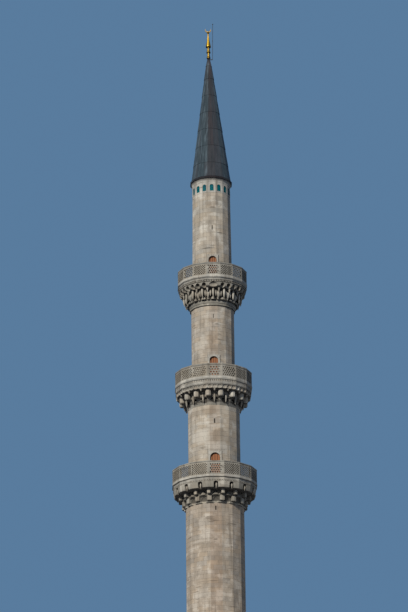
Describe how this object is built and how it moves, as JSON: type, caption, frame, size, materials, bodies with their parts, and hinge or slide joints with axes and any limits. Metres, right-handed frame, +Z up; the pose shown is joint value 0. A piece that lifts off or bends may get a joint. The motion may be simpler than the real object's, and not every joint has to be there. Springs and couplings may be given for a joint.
{
  "type": "stone minaret with three balconies, half-size scale model",
  "caption": "Sixteen-sided stone minaret on a square base, with three corbelled balconies behind pierced parapets, a tiled frieze, a lead-clad spire and a gilded crescent finial.",
  "frame": {"origin": "centre of the plinth's flat underside, at ground level on the tower's axis", "axes": "+Z up along the tower's axis, -Y the front with the doors and slit windows, +X to the right of the front"},
  "size_m": [3.4, 3.4, 32.455],
  "materials": {
    "limestone": "matte",
    "pale_limestone": "matte",
    "door_timber": "matte",
    "sheet_lead": "satin",
    "turquoise_tile": "gloss",
    "gilding": "polished",
    "dark_iron": "matte"
  },
  "bodies": {
    "root": {"plinth": "limestone", "base_wall_front_left": "limestone", "base_wall_front_right": "limestone", "base_wall_front_head": "limestone", "base_wall_back": "limestone", "base_wall_left": "limestone", "base_wall_right": "limestone", "base_door": "door_timber", "base_cornice": "pale_limestone", "transition": "limestone", "shaft_foot_ring": "pale_limestone", "shaft_1_front": "limestone", "shaft_1_left": "limestone", "shaft_1_right": "limestone", "shaft_2_front": "limestone", "shaft_2_left": "limestone", "shaft_2_right": "limestone", "shaft_3_front": "limestone", "shaft_3_left": "limestone", "shaft_3_right": "limestone", "shaft_4_front": "limestone", "shaft_4_left": "limestone", "shaft_4_right": "limestone", "balcony_1_corbel": "limestone", "balcony_1_slab": "pale_limestone", "balcony_1_parapet_front": "pale_limestone", "balcony_1_parapet_back": "pale_limestone", "balcony_1_door": "door_timber", "balcony_2_corbel": "limestone", "balcony_2_slab": "pale_limestone", "balcony_2_parapet_front": "pale_limestone", "balcony_2_parapet_back": "pale_limestone", "balcony_2_door": "door_timber", "balcony_3_corbel": "limestone", "balcony_3_slab": "pale_limestone", "balcony_3_parapet_front": "pale_limestone", "balcony_3_parapet_back": "pale_limestone", "balcony_3_door": "door_timber", "tile_frieze": "pale_limestone", "spire": "sheet_lead", "finial_lower_knop": "gilding", "finial_upper_knop": "gilding", "finial_pear": "gilding", "finial_crescent": "gilding", "lightning_rod": "dark_iron"}
  },
  "joints": []
}
